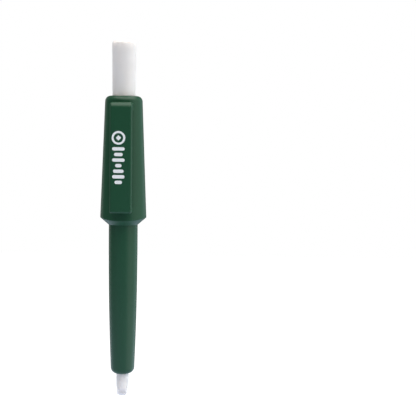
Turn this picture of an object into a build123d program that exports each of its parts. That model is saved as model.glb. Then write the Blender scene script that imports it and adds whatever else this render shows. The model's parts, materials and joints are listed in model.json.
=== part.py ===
from build123d import *
import os

# Push-button gripping pen. A white button pushes a rod and a fork down the barrel. Two jaws
# pivot in the fork. Their thick ends are held shut by the nose and spring open outside it.
# Millimetres. +Z is up, towards the button, and the pocket clip faces -Y.
# The origin is on the axis, at the sleeve's lower end, where it meets the barrel.

# --- driving heights ---
BUTTON_TOP = 69.1
SLEEVE_TOP = 48.7
SPIGOT_TOP = 12.5
LAND_LENGTH = 8.0
NOSE_CURVE = -56.0
NOSE_END = -58.2
JAW_TIP = -67.3
JAW_PIVOT = -43.3

# --- driving widths ---
SLEEVE_TOP_WIDTH = 14.0
SLEEVE_TOP_DEPTH = 12.1
SLEEVE_BASE_WIDTH = 17.8
SLEEVE_BASE_DEPTH = 15.7
BARREL_RADIUS = 5.5
BARREL_MID_RADIUS = 5.24
BARREL_MID = -34.0
NOSE_RADIUS = 4.56
BUTTON_TOP_RADIUS = 4.5
BUTTON_BASE_RADIUS = 4.3
JAW_RADIUS = 2.35
CLIP_WIDTH = 8.1
CLIP_FACE = -11.2

# --- clearances ---
RUNNING_GAP = 0.05
PRESS_GAP = 0.02
SLIP_GAP = 0.15

# --- barrel bores ---
SPIGOT_RADIUS = 5.1
SNAP_HEIGHT = 7.0
SNAP_RADIUS = 0.35
UPPER_BORE = 4.1
LOWER_BORE = 3.5
LOWER_BORE_TOP = -26.0
BORE_STEP = 1.2
MOUTH_RADIUS = JAW_RADIUS + SLIP_GAP
MOUTH_TOP = NOSE_END + 2.0
MOUTH_LIP = 0.2
NOSE_ARC_INSET = 0.5
NOSE_ARC_RISE = 0.78
NOSE_SLOPE = 0.04

# --- sleeve ---
SLEEVE_LIP = 0.25
SHOULDER_SLOPE = 0.87
SHOULDER_REACH = 6.0
SLEEVE_EDGE = 2.1
SLEEVE_RIM = 0.35
CAVITY_RADIUS = 4.9
CAVITY_LEAD = 0.3
SLEEVE_ROOF = 2.4
CAVITY_TOP = SLEEVE_TOP - SLEEVE_ROOF
KEY_WIDTH = 1.6
KEY_REACH = 5.6
KEYWAY_BOTTOM = 30.0

# --- button and rod ---
BUTTON_EDGE = 0.8
BUTTON_WALL = 1.5
BUTTON_CORE = 3.1
FLANGE_RADIUS = 4.8
FLANGE_TOP = CAVITY_TOP - 0.1
FLANGE_HEIGHT = 2.0
SKIRT_RADIUS = 4.2
SKIRT_BOTTOM = 36.7
ROD_RADIUS = 2.1
COLLAR_RADIUS = 4.1
COLLAR_HEIGHT = 1.0
PLUG_HEIGHT = 8.0
ROD_BOTTOM = -38.2
ROD_CHAMFER = 0.4

# --- guide bush and return spring ---
BUSH_HEAD_RADIUS = 4.75
BUSH_HEAD = 1.5
BUSH_LENGTH = 8.0
BUSH_CHAMFER = 0.5
SPRING_RADIUS = 3.45
SPRING_WIRE = 0.35
SPRING_TURNS = 8

# --- jaws and their fork ---
FORK_RADIUS = LOWER_BORE - RUNNING_GAP
FORK_TOP = -33.3
FORK_BOTTOM = JAW_PIVOT - 1.8
FORK_SLOT_TOP = JAW_PIVOT + 2.0
FORK_SLOT_WIDTH = 3.7
FORK_CHAMFER = 0.3
PIN_RADIUS = 0.6
PIN_LENGTH = 6.3
PIN_CHAMFER = 0.1
KNUCKLE_RADIUS = 1.5
KNUCKLE_HALF = 0.75
KNUCKLE_GAP = 0.1
NECK_RADIUS = 1.8
NECK_TOP = JAW_PIVOT - 1.62
SHOULDER_TOP = JAW_TIP + 9.95
JAW_GAP = 0.05
BEAK_HEIGHT = 4.0
BEAK_WIDTH = 3.8
BEAK_TAPER_END = 2.4
BEAK_CORNER = 0.75
BEAK_FLANK = (1.78, 2.2)
BEAK_EDGE = (1.35, 0.7)
BEAK_EDGE_SLOPE = 0.35
BEAK_LIP = 0.25
BEVEL_SIZE = 0.75
BEVEL_HEIGHT = 2.6
RIB_PITCH = 1.0
RIB_GROOVE = 0.26
RIB_DEPTH = 0.2
JAW_SPRING_HEIGHT = JAW_PIVOT - 5.0
JAW_SPRING_RADIUS = 0.55
JAW_SPRING_WIRE = 0.12
JAW_SPRING_TURNS = 3
POCKET_RADIUS = 0.95
POCKET_DEPTH = 1.15

# --- pocket clip ---
CLIP_TOP = 46.1
CLIP_BOTTOM = 5.1
CLIP_THICK = 2.1
CLIP_ARM = 3.0
CLIP_OUTER_RADIUS = 2.1
CLIP_INNER_RADIUS = 1.1
CLIP_END_RADIUS = 0.7
CLIP_EDGE = 0.65
CLIP_SEAM = 0.08
HEEL_TOP = 9.1
HEEL_HEIGHT = 6.4
HEEL_STEP = 0.2
HEEL_SLOPE = 0.2
TONGUE_WIDTH = 5.6
TONGUE_HEIGHT = 1.8
TONGUE_GAP = 0.12
TONGUE_END = 0.2
TONGUE_LENGTH = 2.0

# --- printed mark ---
INK = 0.04
MARK_TOP = 35.5
MARK_X = -0.8
MARK_BAR = 1.25
MARK_PITCH = 2.05
MARK_FIRST_BAR = 1.54
MARK_WIDTHS = (4.6, 3.2, 4.6, 2.4, 3.9, 4.6, 2.8)
RING_RADIUS = 2.5
RING_LINE = 0.75

os.makedirs("parts", exist_ok=True)


def save(solid, label):
    """Label a finished piece and write it as one STEP file."""
    solid.label = label
    export_step(solid, f"parts/{label}.step")


def sleeve_depth(height):
    """Sleeve's full depth along Y at a height."""
    share = height / SLEEVE_TOP
    return SLEEVE_BASE_DEPTH + share * (SLEEVE_TOP_DEPTH - SLEEVE_BASE_DEPTH)


# --- barrel: a tapered tube with a snap spigot on top and a round nose below ---
with BuildPart() as barrel:
    with BuildSketch(Plane.XZ) as barrel_section:
        with BuildLine() as barrel_outline:
            Line((MOUTH_RADIUS, NOSE_END), (MOUTH_RADIUS + MOUTH_LIP, NOSE_END))
            ThreePointArc(
                (MOUTH_RADIUS + MOUTH_LIP, NOSE_END),
                (NOSE_RADIUS - NOSE_ARC_INSET, NOSE_END + NOSE_ARC_RISE),
                (NOSE_RADIUS, NOSE_CURVE),
            )
            Spline(
                (NOSE_RADIUS, NOSE_CURVE),
                (BARREL_MID_RADIUS, BARREL_MID),
                (BARREL_RADIUS, -LAND_LENGTH),
                tangents=[(NOSE_SLOPE, 1), (0, 1)],
            )
            Polyline(
                (BARREL_RADIUS, -LAND_LENGTH),
                (BARREL_RADIUS, 0),
                (SPIGOT_RADIUS, 0),
                (SPIGOT_RADIUS, SNAP_HEIGHT - SNAP_RADIUS),
            )
            ThreePointArc(
                (SPIGOT_RADIUS, SNAP_HEIGHT - SNAP_RADIUS),
                (SPIGOT_RADIUS + SNAP_RADIUS, SNAP_HEIGHT),
                (SPIGOT_RADIUS, SNAP_HEIGHT + SNAP_RADIUS),
            )
            Polyline(
                (SPIGOT_RADIUS, SNAP_HEIGHT + SNAP_RADIUS),
                (SPIGOT_RADIUS, SPIGOT_TOP),
                (UPPER_BORE, SPIGOT_TOP),
                (UPPER_BORE, LOWER_BORE_TOP + BORE_STEP),
                (LOWER_BORE, LOWER_BORE_TOP),
                (LOWER_BORE, MOUTH_TOP + LOWER_BORE - MOUTH_RADIUS),
                (MOUTH_RADIUS, MOUTH_TOP),
                (MOUTH_RADIUS, NOSE_END),
            )
        make_face()
    revolve(axis=Axis.Z)

# --- upper sleeve: a flared oval shell with a round cavity, cut off by a shallow cone ---
with BuildPart() as upper_sleeve:
    lip_radius = BARREL_RADIUS + SLEEVE_LIP
    with BuildSketch(Plane.XY.offset(SLEEVE_TOP)):
        Ellipse(SLEEVE_TOP_WIDTH / 2, SLEEVE_TOP_DEPTH / 2)
    with BuildSketch(Plane.XY):
        Ellipse(SLEEVE_BASE_WIDTH / 2, SLEEVE_BASE_DEPTH / 2)
    loft()
    fillet(upper_sleeve.edges().group_by(Axis.Z)[-1], SLEEVE_EDGE)
    with BuildSketch(Plane.XZ):
        Polygon(
            (lip_radius, 0),
            (lip_radius + SHOULDER_REACH, 0),
            (lip_radius + SHOULDER_REACH, SHOULDER_REACH * SHOULDER_SLOPE),
            align=None,
        )
    revolve(axis=Axis.Z, mode=Mode.SUBTRACT)
    lower_rim = upper_sleeve.edges().sort_by(SortBy.LENGTH)[-1]
    fillet(lower_rim, SLEEVE_RIM)
    with BuildSketch(Plane.XZ):
        Polygon(
            (0, 0),
            (SPIGOT_RADIUS + PRESS_GAP, 0),
            (SPIGOT_RADIUS + PRESS_GAP, SPIGOT_TOP + PRESS_GAP),
            (CAVITY_RADIUS, SPIGOT_TOP + PRESS_GAP + CAVITY_LEAD),
            (CAVITY_RADIUS, CAVITY_TOP),
            (BUTTON_TOP_RADIUS, CAVITY_TOP),
            (BUTTON_TOP_RADIUS, SLEEVE_TOP),
            (0, SLEEVE_TOP),
            align=None,
        )
    revolve(axis=Axis.Z, mode=Mode.SUBTRACT)
    with BuildSketch(Plane.XZ):
        with Locations((SPIGOT_RADIUS, SNAP_HEIGHT)):
            Circle(SNAP_RADIUS + RUNNING_GAP)
    revolve(axis=Axis.Z, mode=Mode.SUBTRACT)
    with BuildSketch(Plane.XY.offset(KEYWAY_BOTTOM)):
        Rectangle(2 * (KEY_REACH + SLIP_GAP), KEY_WIDTH + 2 * SLIP_GAP)
    extrude(amount=CAVITY_TOP - KEYWAY_BOTTOM, mode=Mode.SUBTRACT)
    with BuildSketch(Plane.XZ.offset(CAVITY_RADIUS - 1)):
        with Locations((0, CLIP_TOP - CLIP_ARM / 2)):
            Rectangle(TONGUE_WIDTH + 2 * TONGUE_GAP, TONGUE_HEIGHT + 2 * TONGUE_GAP)
    extrude(amount=SLEEVE_TOP_DEPTH / 2, mode=Mode.SUBTRACT)

# --- pocket clip: a bent strip with a heel, and a tongue that sits in the sleeve's window ---
with BuildPart() as pocket_clip:
    inner_face = CLIP_FACE + CLIP_THICK
    with BuildSketch(Plane.YZ):
        with BuildLine():
            Polyline(
                (0, CLIP_TOP),
                (CLIP_FACE, CLIP_TOP),
                (CLIP_FACE, CLIP_BOTTOM),
                (inner_face + HEEL_STEP, CLIP_BOTTOM),
            )
            Spline(
                (inner_face + HEEL_STEP, CLIP_BOTTOM),
                (-sleeve_depth(HEEL_HEIGHT) / 2 - CLIP_SEAM, HEEL_HEIGHT),
                (inner_face, HEEL_TOP),
                tangents=[(1, HEEL_SLOPE), (0, 1)],
            )
            Polyline(
                (inner_face, HEEL_TOP),
                (inner_face, CLIP_TOP - CLIP_ARM),
                (0, CLIP_TOP - CLIP_ARM),
                (0, CLIP_TOP),
            )
        make_face()
    extrude(amount=CLIP_WIDTH / 2, both=True)
    bends = pocket_clip.edges().filter_by(Axis.X)
    outer_edges = bends.group_by(Axis.Y)[0].sort_by(Axis.Z)
    inner_edges = bends.filter_by_position(Axis.Y, inner_face, inner_face).sort_by(Axis.Z)
    fillet(outer_edges[-1], CLIP_OUTER_RADIUS)
    fillet(inner_edges[-1], CLIP_INNER_RADIUS)
    fillet(outer_edges[0], CLIP_END_RADIUS)
    front = pocket_clip.faces().sort_by(Axis.Y)[0]
    fillet(front.edges().filter_by(Axis.Z), CLIP_EDGE)
    # the strip stops just short of the sleeve's oval side
    with BuildSketch(Plane.XY.offset(SLEEVE_TOP)):
        Ellipse(SLEEVE_TOP_WIDTH / 2 + CLIP_SEAM, SLEEVE_TOP_DEPTH / 2 + CLIP_SEAM)
    with BuildSketch(Plane.XY):
        Ellipse(SLEEVE_BASE_WIDTH / 2 + CLIP_SEAM, SLEEVE_BASE_DEPTH / 2 + CLIP_SEAM)
    loft(mode=Mode.SUBTRACT)
    with BuildSketch(Plane.XZ.offset(CAVITY_RADIUS + TONGUE_END)):
        with Locations((0, CLIP_TOP - CLIP_ARM / 2)):
            Rectangle(TONGUE_WIDTH, TONGUE_HEIGHT)
    extrude(amount=TONGUE_LENGTH)

# --- printed mark on the clip: a ring over a ladder of bars, thin as ink ---
with BuildPart() as clip_mark:
    with BuildSketch(Plane.XZ.offset(-CLIP_FACE)):
        with Locations((MARK_X, MARK_TOP - RING_RADIUS)):
            Circle(RING_RADIUS)
            Circle(RING_RADIUS - RING_LINE, mode=Mode.SUBTRACT)
            RegularPolygon(RING_RADIUS - 2 * RING_LINE, 4)
        for row, width in enumerate(MARK_WIDTHS):
            drop = 2 * RING_RADIUS + MARK_FIRST_BAR + row * MARK_PITCH
            with Locations((MARK_X, MARK_TOP - drop)):
                SlotOverall(width, MARK_BAR)
    extrude(amount=INK)

# --- push button: a hollow plunger with a keyed flange and a skirt inside the sleeve ---
with BuildPart() as push_button:
    with BuildSketch(Plane.XZ):
        Polygon(
            (0, BUTTON_TOP),
            (BUTTON_TOP_RADIUS, BUTTON_TOP),
            (BUTTON_BASE_RADIUS, SLEEVE_TOP),
            (BUTTON_BASE_RADIUS, FLANGE_TOP),
            (FLANGE_RADIUS, FLANGE_TOP),
            (FLANGE_RADIUS, FLANGE_TOP - FLANGE_HEIGHT),
            (SKIRT_RADIUS, FLANGE_TOP - FLANGE_HEIGHT),
            (SKIRT_RADIUS, SKIRT_BOTTOM),
            (BUTTON_CORE, SKIRT_BOTTOM),
            (BUTTON_CORE, BUTTON_TOP - BUTTON_WALL),
            (0, BUTTON_TOP - BUTTON_WALL),
            align=None,
        )
    revolve(axis=Axis.Z)
    fillet(push_button.edges().group_by(Axis.Z)[-1], BUTTON_EDGE)
    with BuildSketch(Plane.XY.offset(FLANGE_TOP - FLANGE_HEIGHT)):
        Rectangle(2 * KEY_REACH, KEY_WIDTH)
        Circle(SKIRT_RADIUS, mode=Mode.SUBTRACT)
    extrude(amount=FLANGE_HEIGHT)

# --- push rod: a plug in the button, a collar over the spring and a long thin rod ---
with BuildPart() as push_rod:
    with BuildSketch(Plane.XZ):
        Polygon(
            (0, SKIRT_BOTTOM + PLUG_HEIGHT),
            (BUTTON_CORE - PRESS_GAP, SKIRT_BOTTOM + PLUG_HEIGHT),
            (BUTTON_CORE - PRESS_GAP, SKIRT_BOTTOM - PRESS_GAP),
            (COLLAR_RADIUS, SKIRT_BOTTOM - PRESS_GAP),
            (COLLAR_RADIUS, SKIRT_BOTTOM - COLLAR_HEIGHT),
            (ROD_RADIUS, SKIRT_BOTTOM - COLLAR_HEIGHT),
            (ROD_RADIUS, ROD_BOTTOM),
            (0, ROD_BOTTOM),
            align=None,
        )
    revolve(axis=Axis.Z)
    rod_ends = push_rod.edges().group_by(Axis.Z)
    chamfer(rod_ends[0] + rod_ends[-1], ROD_CHAMFER)

# --- guide bush: pressed into the barrel, guides the rod and seats the spring ---
with BuildPart() as guide_bush:
    with BuildSketch(Plane.XZ):
        Polygon(
            (ROD_RADIUS + RUNNING_GAP, SPIGOT_TOP + BUSH_HEAD),
            (BUSH_HEAD_RADIUS, SPIGOT_TOP + BUSH_HEAD),
            (BUSH_HEAD_RADIUS, SPIGOT_TOP + PRESS_GAP),
            (UPPER_BORE - PRESS_GAP, SPIGOT_TOP + PRESS_GAP),
            (UPPER_BORE - PRESS_GAP, SPIGOT_TOP - BUSH_LENGTH),
            (ROD_RADIUS + RUNNING_GAP, SPIGOT_TOP - BUSH_LENGTH),
            align=None,
        )
    revolve(axis=Axis.Z)
    chamfer(guide_bush.edges().group_by(Axis.Z)[0].sort_by(SortBy.LENGTH)[-1], BUSH_CHAMFER)


def coil(turns, radius, wire, start, length, direction):
    """A plain coil spring: its wire's skin lies between start and start + length along direction."""
    axis = Vector(direction)
    rise = length - 2 * wire
    with BuildPart() as spring:
        with BuildLine() as path:
            Helix(
                pitch=rise / turns,
                height=rise,
                radius=radius,
                center=Vector(start) + axis * wire,
                direction=axis,
            )
        with BuildSketch(Plane(origin=path.line @ 0, z_dir=path.line % 0)):
            Circle(wire)
        sweep(is_frenet=True)
    return spring.part


# --- return spring: between the guide bush and the rod's collar ---
spring_seat = SPIGOT_TOP + BUSH_HEAD
return_spring = coil(
    SPRING_TURNS,
    SPRING_RADIUS,
    SPRING_WIRE,
    (0, 0, spring_seat + PRESS_GAP),
    SKIRT_BOTTOM - COLLAR_HEIGHT - spring_seat - 2 * PRESS_GAP,
    (0, 0, 1),
)

# --- jaw carrier: a piston on the rod, slotted below into a fork for the jaws ---
with BuildPart() as jaw_carrier:
    with BuildSketch(Plane.XY.offset(FORK_BOTTOM)):
        Circle(FORK_RADIUS)
    extrude(amount=FORK_TOP - FORK_BOTTOM)
    carrier_ends = jaw_carrier.edges().group_by(Axis.Z)
    chamfer(carrier_ends[0] + carrier_ends[-1], FORK_CHAMFER)
    with BuildSketch(Plane.XY.offset(ROD_BOTTOM - PRESS_GAP)):
        Circle(ROD_RADIUS + PRESS_GAP)
    extrude(amount=FORK_TOP - ROD_BOTTOM + PRESS_GAP, mode=Mode.SUBTRACT)
    with BuildSketch(Plane.XY.offset(FORK_BOTTOM)):
        Rectangle(FORK_SLOT_WIDTH, 2 * FORK_RADIUS)
    extrude(amount=FORK_SLOT_TOP - FORK_BOTTOM, mode=Mode.SUBTRACT)
    with BuildSketch(Plane.YZ):
        with Locations((0, JAW_PIVOT)):
            Circle(PIN_RADIUS + PRESS_GAP)
    extrude(amount=FORK_RADIUS, both=True, mode=Mode.SUBTRACT)

# --- jaw pin: the steel pivot across the fork ---
with BuildPart() as jaw_pin:
    with BuildSketch(Plane.YZ):
        with Locations((0, JAW_PIVOT)):
            Circle(PIN_RADIUS)
    extrude(amount=PIN_LENGTH / 2, both=True)
    chamfer(jaw_pin.edges().filter_by(GeomType.CIRCLE), PIN_CHAMFER)


def beak_flank(side, inset):
    """The beak's outer curve in the side view, set in by a depth at its lower points."""
    return Spline(
        (side * JAW_RADIUS, JAW_TIP + BEAK_HEIGHT),
        (side * (BEAK_FLANK[0] - inset), JAW_TIP + BEAK_FLANK[1]),
        (side * (BEAK_EDGE[0] - inset), JAW_TIP + BEAK_EDGE[1]),
        tangents=[(0, -1), (-side * BEAK_EDGE_SLOPE, -1)],
    )


def jaw(side, knuckles):
    """One jaw: a half-round neck and shank, a ribbed beak, and knuckles given as (from, to) in X."""
    with BuildPart() as half:
        with BuildSketch(Plane.XZ):
            Polygon(
                (0, JAW_TIP),
                (JAW_RADIUS, JAW_TIP),
                (JAW_RADIUS, SHOULDER_TOP - JAW_RADIUS + NECK_RADIUS),
                (NECK_RADIUS, SHOULDER_TOP),
                (NECK_RADIUS, NECK_TOP),
                (0, NECK_TOP),
                align=None,
            )
        revolve(axis=Axis.Z)
        # the beak narrows to a wide edge: a front profile and a side profile cut it
        with BuildSketch(Plane.XZ):
            with BuildLine():
                front_side = Polyline(
                    (0, NECK_TOP),
                    (JAW_RADIUS, NECK_TOP),
                    (JAW_RADIUS, JAW_TIP + BEAK_HEIGHT),
                    (BEAK_WIDTH / 2, JAW_TIP + BEAK_TAPER_END),
                    (BEAK_WIDTH / 2, JAW_TIP + BEAK_CORNER),
                )
                corner = RadiusArc(
                    front_side @ 1, (BEAK_WIDTH / 2 - BEAK_CORNER, JAW_TIP), -BEAK_CORNER
                )
                Line(corner @ 1, (0, JAW_TIP))
                mirror(about=Plane.YZ)
            make_face()
        extrude(amount=JAW_RADIUS, both=True, mode=Mode.INTERSECT)
        with BuildSketch(Plane.YZ):
            with BuildLine():
                flank = beak_flank(side, 0)
                Polyline(
                    flank @ 1,
                    (side * BEAK_LIP, JAW_TIP),
                    (side * JAW_GAP, JAW_TIP),
                    (side * JAW_GAP, NECK_TOP),
                    (side * JAW_RADIUS, NECK_TOP),
                    flank @ 0,
                )
            make_face()
        extrude(amount=JAW_RADIUS, both=True, mode=Mode.INTERSECT)
        # bevels along the gripping edges open the split into a narrow groove near the tip
        with BuildSketch(Plane.XY.offset(JAW_TIP)):
            for edge in (-1, 1):
                with Locations((edge * BEAK_WIDTH / 2, 0)):
                    Rectangle(BEVEL_SIZE, BEVEL_SIZE, rotation=45)
        extrude(amount=BEVEL_HEIGHT, mode=Mode.SUBTRACT)
        # shallow grooves down the outside of the beak leave blunt ribs
        for column in (-1, 0, 1):
            with BuildSketch(Plane.YZ.offset(column * RIB_PITCH - RIB_GROOVE)):
                with BuildLine():
                    groove = beak_flank(side, RIB_DEPTH)
                    Polyline(
                        groove @ 1,
                        (side * JAW_RADIUS, JAW_TIP + BEAK_EDGE[1]),
                        groove @ 0,
                    )
                make_face()
            extrude(amount=2 * RIB_GROOVE, mode=Mode.SUBTRACT)
        # knuckles around the pin, each joined to the neck by a web on the jaw's own side
        for start, end in knuckles:
            with BuildSketch(Plane.YZ.offset(start)):
                with Locations((0, JAW_PIVOT)):
                    Circle(KNUCKLE_RADIUS)
                with Locations((side * (KNUCKLE_RADIUS + JAW_GAP) / 2, (JAW_PIVOT + NECK_TOP) / 2)):
                    Rectangle(KNUCKLE_RADIUS - JAW_GAP, JAW_PIVOT - NECK_TOP)
            extrude(amount=end - start)
        with BuildSketch(Plane.YZ):
            with Locations((0, JAW_PIVOT)):
                Circle(PIN_RADIUS + RUNNING_GAP)
        extrude(amount=FORK_SLOT_WIDTH, both=True, mode=Mode.SUBTRACT)
        # pocket for the little spring that opens the jaws
        with BuildSketch(Plane.XZ.offset(-side * POCKET_DEPTH)):
            with Locations((0, JAW_SPRING_HEIGHT)):
                Circle(POCKET_RADIUS)
        extrude(amount=side * POCKET_DEPTH, mode=Mode.SUBTRACT)
    return half.part


outer_knuckle = FORK_SLOT_WIDTH / 2 - KNUCKLE_GAP
inner_knuckle = KNUCKLE_HALF + KNUCKLE_GAP
jaw_front = jaw(-1, [(-KNUCKLE_HALF, KNUCKLE_HALF)])
jaw_rear = jaw(1, [(-outer_knuckle, -inner_knuckle), (inner_knuckle, outer_knuckle)])

# --- jaw spring: a small coil squeezed between the two necks ---
jaw_spring_length = 2 * POCKET_DEPTH - 2 * PRESS_GAP
jaw_spring = coil(
    JAW_SPRING_TURNS,
    JAW_SPRING_RADIUS,
    JAW_SPRING_WIRE,
    (0, -jaw_spring_length / 2, JAW_SPRING_HEIGHT),
    jaw_spring_length,
    (0, 1, 0),
)

save(barrel.part, "barrel")
save(upper_sleeve.part, "upper_sleeve")
save(pocket_clip.part, "pocket_clip")
save(clip_mark.part, "clip_mark")
save(push_button.part, "push_button")
save(push_rod.part, "push_rod")
save(guide_bush.part, "guide_bush")
save(return_spring, "return_spring")
save(jaw_carrier.part, "jaw_carrier")
save(jaw_pin.part, "jaw_pin")
save(jaw_front, "jaw_front")
save(jaw_rear, "jaw_rear")
save(jaw_spring, "jaw_spring")
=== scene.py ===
import json
import math

import bpy
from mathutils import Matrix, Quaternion, Vector


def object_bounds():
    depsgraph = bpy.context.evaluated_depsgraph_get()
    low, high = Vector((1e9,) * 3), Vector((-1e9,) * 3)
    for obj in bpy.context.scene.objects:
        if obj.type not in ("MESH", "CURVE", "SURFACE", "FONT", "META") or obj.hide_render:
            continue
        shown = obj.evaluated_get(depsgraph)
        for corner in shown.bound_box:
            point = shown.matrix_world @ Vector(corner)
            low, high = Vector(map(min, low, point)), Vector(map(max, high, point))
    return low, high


# Looks for a push-button gripping pen: satin green mouldings, a white button and white jaws.
# Metres, in the frame's own axes: +Z towards the button, and the clip faces -Y.

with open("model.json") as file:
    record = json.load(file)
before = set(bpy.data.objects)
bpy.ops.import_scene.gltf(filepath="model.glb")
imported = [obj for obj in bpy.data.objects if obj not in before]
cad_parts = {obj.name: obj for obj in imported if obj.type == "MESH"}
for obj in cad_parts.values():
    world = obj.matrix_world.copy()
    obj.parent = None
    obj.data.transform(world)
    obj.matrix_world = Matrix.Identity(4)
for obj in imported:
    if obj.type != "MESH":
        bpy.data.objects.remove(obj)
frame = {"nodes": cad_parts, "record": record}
cad_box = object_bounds()
nodes = frame["nodes"]

MM = 0.001

# --- camera: metres and degrees, and millimetres for the lens ---
CAMERA_DISTANCE = 0.32
CAMERA_AZIMUTH = 0.0
CAMERA_ELEVATION = 5.3
CAMERA_ASIDE = 0.0324
CAMERA_ABOVE = 0.0066
CAMERA_ROLL = 0.85
CAMERA_LENS = 72.2

# --- floor and room ---
FLOOR_DROP = 0.40
FLOOR_SIZE = 6.0
FLOOR_PALE = (0.90, 0.90, 0.90)
FLOOR_PALER = (0.94, 0.94, 0.94)
ROOM_GREY = 0.08
SHEET_WHITE = 1.0

# --- light colours ---
NEUTRAL = (1.0, 1.0, 1.0)
WARM = (1.0, 0.975, 0.945)
COOL = (0.84, 0.95, 1.24)
FAINT_TEAL = (0.90, 1.05, 1.10)

# --- the softbox overhead and the bounce card below ---
TOP_PLACE = (0.08, -0.12, 0.70)
TOP_SIZE = (1.00, 1.00)
TOP_POWER = 10.5
BOUNCE_DROP = 0.09
BOUNCE_FORWARD = 0.15
BOUNCE_SIZE = (0.90, 0.90)
BOUNCE_POWER = 2.3

# --- the lights around the pen: the glossy ones show in its shine, the fills don't ---
GLOSSY_LIGHTS = {
    "key_softbox": dict(
        azimuth=70, distance=0.55, height=0.08, size=(0.60, 0.90), power=1.70, colour=WARM
    ),
    "right_rim": dict(
        azimuth=125, distance=0.55, height=0, size=(0.50, 0.90), power=1.15, colour=FAINT_TEAL
    ),
    "left_rim": dict(
        azimuth=-130, distance=0.55, height=0, size=(0.25, 0.90), power=0.40, colour=NEUTRAL
    ),
}
MATT_FILLS = {
    "left_fill": dict(
        azimuth=-80, distance=0.60, height=0.05, size=(0.80, 0.80), power=1.10, colour=WARM
    ),
    "back_fill": dict(
        azimuth=180, distance=0.70, height=0.05, size=(0.80, 0.80), power=1.20, colour=NEUTRAL
    ),
}

# --- plastics, ink and steel, linear ---
GREEN = (0.0130, 0.0710, 0.0335)
GREEN_DEEP = (0.0110, 0.0610, 0.0280)
GREEN_SCUFFED = (0.10, 0.17, 0.14)
GREEN_DUST = (0.20, 0.26, 0.23)
WHITE = (0.905, 0.840, 0.785)
WHITE_WARM = (0.890, 0.820, 0.755)
WHITE_GRIME = (0.55, 0.52, 0.48)
INK = (0.86, 0.88, 0.87)
INK_THIN = (0.66, 0.72, 0.69)
ACETAL = (0.62, 0.60, 0.54)
ACETAL_DULL = (0.54, 0.51, 0.44)
STEEL = (0.56, 0.57, 0.59)
STEEL_OILED = (0.42, 0.39, 0.35)

# --- depth of the surface relief, metres ---
GREEN_GRAIN = 0.010 * MM
GREEN_FLOW = 0.05 * MM
WHITE_GRAIN = 0.006 * MM
WHITE_DRAW = 0.006 * MM
INK_RELIEF = 0.004 * MM
ACETAL_RINGS = 0.006 * MM
WIRE_LINES = 0.003 * MM


class Value:
    """A node's output socket. Arithmetic on it adds Math nodes to its tree."""

    def __init__(self, shading, socket):
        self.shading = shading
        self.socket = socket

    def __add__(self, other):
        return self.shading.math("ADD", self, other)

    def __radd__(self, other):
        return self.shading.math("ADD", other, self)

    def __mul__(self, other):
        return self.shading.math("MULTIPLY", self, other)

    def __rmul__(self, other):
        return self.shading.math("MULTIPLY", other, self)


class Shading:
    """A node tree in the making. Every node added to it comes from its node method."""

    def __init__(self, tree):
        self.tree = tree

    def node(self, kind, settings=None, inputs=None, output=0):
        """Add one node: settings first, then its sockets' values or links. Returns one output."""
        made = self.tree.nodes.new(kind)
        for name, setting in (settings or {}).items():
            setattr(made, name, setting)
        for socket, source in (inputs or {}).items():
            self.feed(made.inputs[socket], source)
        return Value(self, made.outputs[output])

    def feed(self, socket, source):
        """Give a socket a link or a plain value."""
        if isinstance(source, Value):
            self.tree.links.new(source.socket, socket)
        else:
            socket.default_value = source

    def math(self, operation, first, second):
        return self.node("ShaderNodeMath", {"operation": operation}, {0: first, 1: second})


class Finish(Shading):
    """A material in the making: one Principled shader and the nodes that feed it."""

    def __init__(self, name, **constants):
        self.material = bpy.data.materials.new(name)
        self.material.use_nodes = True
        super().__init__(self.material.node_tree)
        self.shader = self.tree.nodes["Principled BSDF"]
        for socket, constant in constants.items():
            self.shader.inputs[socket.replace("_", " ")].default_value = constant

    def place(self, stretch):
        """Object coordinates in metres, scaled along each axis."""
        coordinates = self.node("ShaderNodeTexCoord", output="Object")
        return self.node(
            "ShaderNodeVectorMath", {"operation": "MULTIPLY"}, {0: coordinates, 1: stretch}
        )

    def noise(self, size, stretch=(1, 1, 1), detail=3.0, roughness=0.55):
        """Noise from 0 to 1 with features of that size in metres, stretched along the axes."""
        return self.node(
            "ShaderNodeTexNoise",
            {},
            {
                "Vector": self.place(stretch),
                "Scale": 1 / size,
                "Detail": detail,
                "Roughness": roughness,
            },
        )

    def band(self, value, low, high):
        """0 below low, 1 above high, and a smooth step between."""
        return self.node(
            "ShaderNodeMapRange",
            {"interpolation_type": "SMOOTHSTEP"},
            {"Value": value, "From Min": low, "From Max": high},
        )

    def blend(self, factor, first, second):
        """Mix two colours, each a link or a linear RGB triple."""
        sources = [c if isinstance(c, Value) else (*c, 1) for c in (first, second)]
        return self.node(
            "ShaderNodeMix",
            {"data_type": "RGBA"},
            {"Factor": factor, 6: sources[0], 7: sources[1]},
            output=2,
        )

    def bump(self, height, depth, below=None):
        """Surface relief of that depth in metres, on top of another bump if one is given."""
        inputs = {"Height": height, "Distance": depth, "Strength": 1.0}
        if below is not None:
            inputs["Normal"] = below
        return self.node("ShaderNodeBump", {}, inputs)

    def finish(self, **varying):
        """Feed what varies over the surface to the shader and return the material."""
        for socket, source in varying.items():
            self.feed(self.shader.inputs[socket.replace("_", " ")], source)
        return self.material


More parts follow.
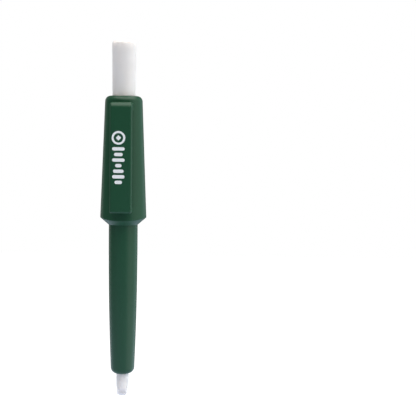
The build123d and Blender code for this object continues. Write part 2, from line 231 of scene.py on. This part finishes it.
def green_plastic():
    """Satin ABS: a fine spark-eroded grain, slow flow mottling and light handling scuffs."""
    f = Finish("green_plastic", IOR=1.5, Specular_IOR_Level=0.3)
    flow = f.noise(14 * MM, stretch=(1, 1, 0.35), detail=2.0)
    grain = f.noise(0.16 * MM, detail=2.0, roughness=0.6)
    scuffs = f.band(f.noise(0.5 * MM, stretch=(1, 1, 0.07), detail=4.0), 0.62, 0.78)
    specks = f.band(f.noise(0.30 * MM, detail=1.0), 0.74, 0.80)
    colour = f.blend(flow, GREEN_DEEP, GREEN)
    colour = f.blend(scuffs * 0.10, colour, GREEN_SCUFFED)
    colour = f.blend(specks * 0.10, colour, GREEN_DUST)
    roughness = 0.28 + 0.08 * flow + 0.05 * grain + 0.06 * scuffs
    relief = f.bump(grain, GREEN_GRAIN)
    relief = f.bump(flow, GREEN_FLOW, below=relief)
    return f.finish(Base_Color=colour, Roughness=roughness, Normal=relief)


def white_plastic():
    """Bright white plastic that lets a little light in: faintly uneven, with soft draw marks."""
    f = Finish(
        "white_plastic",
        IOR=1.49,
        Specular_IOR_Level=0.45,
        Subsurface_Weight=1.0,
        Subsurface_Radius=(1.0, 0.95, 0.92),
        Subsurface_Scale=3.5 * MM,
    )
    cloud = f.noise(5 * MM, detail=2.0)
    grain = f.noise(0.12 * MM, detail=2.0, roughness=0.6)
    draw = f.noise(0.35 * MM, stretch=(1, 1, 0.03), detail=3.0)
    grime = f.band(f.noise(1.6 * MM, detail=4.0), 0.60, 0.85)
    colour = f.blend(cloud, WHITE_WARM, WHITE)
    colour = f.blend(grime * 0.08, colour, WHITE_GRIME)
    roughness = 0.36 + 0.08 * draw + 0.08 * cloud
    relief = f.bump(grain, WHITE_GRAIN)
    relief = f.bump(draw, WHITE_DRAW, below=relief)
    return f.finish(Base_Color=colour, Roughness=roughness, Normal=relief)


def white_ink():
    """Pad-printed ink: nearly opaque, with a few pinholes that let the green through."""
    f = Finish("white_ink", IOR=1.5, Specular_IOR_Level=0.4)
    pinholes = f.band(f.noise(0.22 * MM, detail=2.0), 0.66, 0.74)
    thin = f.noise(1.2 * MM, detail=3.0)
    colour = f.blend(thin * 0.25, INK, INK_THIN)
    colour = f.blend(pinholes * 0.55, colour, GREEN)
    return f.finish(
        Base_Color=colour,
        Roughness=0.45 + 0.15 * thin,
        Normal=f.bump(thin, INK_RELIEF),
    )


def acetal():
    """Natural acetal: milky and slightly waxy, with turned or moulded rings."""
    f = Finish("acetal", IOR=1.48, Specular_IOR_Level=0.5)
    cloud = f.noise(2.5 * MM, detail=3.0)
    rings = f.noise(0.25 * MM, stretch=(0.05, 0.05, 1), detail=2.0)
    colour = f.blend(cloud * 0.6, ACETAL, ACETAL_DULL)
    return f.finish(
        Base_Color=colour,
        Roughness=0.32 + 0.14 * cloud,
        Normal=f.bump(rings, ACETAL_RINGS),
    )


def spring_steel():
    """Drawn steel wire: bright, with fine lines along it and a little oil tint."""
    f = Finish("spring_steel", Metallic=1.0)
    lines = f.noise(0.05 * MM, detail=3.0)
    tint = f.noise(1.5 * MM, detail=2.0)
    colour = f.blend(tint * 0.5, STEEL, STEEL_OILED)
    return f.finish(
        Base_Color=colour,
        Roughness=0.22 + 0.20 * lines,
        Normal=f.bump(lines, WIRE_LINES),
    )


def paint_nodes():
    """Give every CAD node the finish of its slot in the record."""
    finishes = {
        "green_plastic": green_plastic(),
        "white_plastic": white_plastic(),
        "white_ink": white_ink(),
        "natural_plastic": acetal(),
        "spring_steel": spring_steel(),
    }
    for part in frame["record"]["subparts"]:
        piece = nodes[part["node"]]
        piece.data.materials.clear()
        piece.data.materials.append(finishes[part["material_slot"]])


def add_light(name, place, aim, size, power, colour):
    """A soft rectangular light at a place, facing a point."""
    lamp = bpy.data.lights.new(name, "AREA")
    lamp.energy = power
    lamp.color = colour
    lamp.shape = "RECTANGLE"
    lamp.size, lamp.size_y = size
    holder = bpy.data.objects.new(name, lamp)
    bpy.context.scene.collection.objects.link(holder)
    holder.location = place
    holder.rotation_euler = (Vector(aim) - Vector(place)).to_track_quat("-Z", "Y").to_euler()
    return holder


def around(azimuth, distance, height):
    """A place beside the pen: 0 degrees is towards the camera and 90 is the pen's right, +X."""
    angle = math.radians(azimuth)
    return (distance * math.sin(angle), -distance * math.cos(angle), height)


def stand_light(name, azimuth, distance, height, size, power, colour):
    """A light that stands around the pen and faces its middle."""
    return add_light(name, around(azimuth, distance, height), (0, 0, 0), size, power, colour)


def light_studio():
    """A big overhead softbox, the lights around the pen, and a cool card that lights it from below."""
    add_light("top_softbox", TOP_PLACE, (0, 0, 0), TOP_SIZE, TOP_POWER, WARM)
    for name, light in GLOSSY_LIGHTS.items():
        stand_light(name, **light)
    for name, light in MATT_FILLS.items():
        stand_light(name, **light).visible_glossy = False
    below = (0, -BOUNCE_FORWARD, cad_box[0].z - BOUNCE_DROP)
    above = (0, -BOUNCE_FORWARD, 0)
    add_light("bounce_card", below, above, BOUNCE_SIZE, BOUNCE_POWER, COOL)


def room_world():
    """A dim grey room for the light, and plain white where the camera sees past the floor."""
    world = bpy.data.worlds.new("studio")
    bpy.context.scene.world = world
    world.use_nodes = True
    room = Shading(world.node_tree)
    room.tree.nodes.remove(room.tree.nodes["Background"])
    dim = room.node("ShaderNodeBackground", {}, {"Color": (ROOM_GREY, ROOM_GREY, ROOM_GREY, 1)})
    white = room.node("ShaderNodeBackground", {}, {"Color": (SHEET_WHITE, SHEET_WHITE, SHEET_WHITE, 1)})
    seen = room.node("ShaderNodeLightPath", output="Is Camera Ray")
    both = room.node("ShaderNodeMixShader", {}, {"Fac": seen, 1: dim, 2: white})
    room.feed(room.tree.nodes["World Output"].inputs["Surface"], both)


def lay_floor():
    """A wide pale sheet well under the pen, so bright that its far edge melts into the white."""
    half = FLOOR_SIZE / 2
    level = cad_box[0].z - FLOOR_DROP
    corners = [(-half, -half, level), (half, -half, level), (half, half, level), (-half, half, level)]
    mesh = bpy.data.meshes.new("floor")
    mesh.from_pydata(corners, [], [(0, 1, 2, 3)])
    floor = bpy.data.objects.new("floor", mesh)
    bpy.context.scene.collection.objects.link(floor)
    floor.visible_diffuse = False
    floor.visible_glossy = False
    f = Finish("floor_sheet", Emission_Strength=SHEET_WHITE)
    fibre = f.noise(6 * MM, detail=4.0)
    floor.data.materials.append(
        f.finish(
            Base_Color=f.blend(fibre, FLOOR_PALE, FLOOR_PALER),
            Emission_Color=(1, 1, 1, 1),
            Roughness=0.8 + 0.1 * fibre,
        )
    )


def aim_camera():
    """A long lens in front of the pen and a little above its middle, with the pen left of centre."""
    azimuth = math.radians(CAMERA_AZIMUTH)
    elevation = math.radians(CAMERA_ELEVATION)
    right = Vector((math.cos(azimuth), math.sin(azimuth), 0))
    back = Vector(
        (
            math.sin(azimuth) * math.cos(elevation),
            -math.cos(azimuth) * math.cos(elevation),
            math.sin(elevation),
        )
    )
    up = back.cross(right)
    data = bpy.data.cameras.new("camera")
    data.lens = CAMERA_LENS
    data.clip_start = 0.01
    camera = bpy.data.objects.new("camera", data)
    bpy.context.scene.collection.objects.link(camera)
    camera.location = back * CAMERA_DISTANCE + right * CAMERA_ASIDE + up * CAMERA_ABOVE
    camera.rotation_mode = "QUATERNION"
    roll = Quaternion((0, 0, 1), math.radians(CAMERA_ROLL))
    camera.rotation_quaternion = (-back).to_track_quat("-Z", "Y") @ roll
    bpy.context.scene.camera = camera


paint_nodes()
light_studio()
room_world()
lay_floor()
aim_camera()
bpy.context.scene.view_settings.view_transform = "Standard"
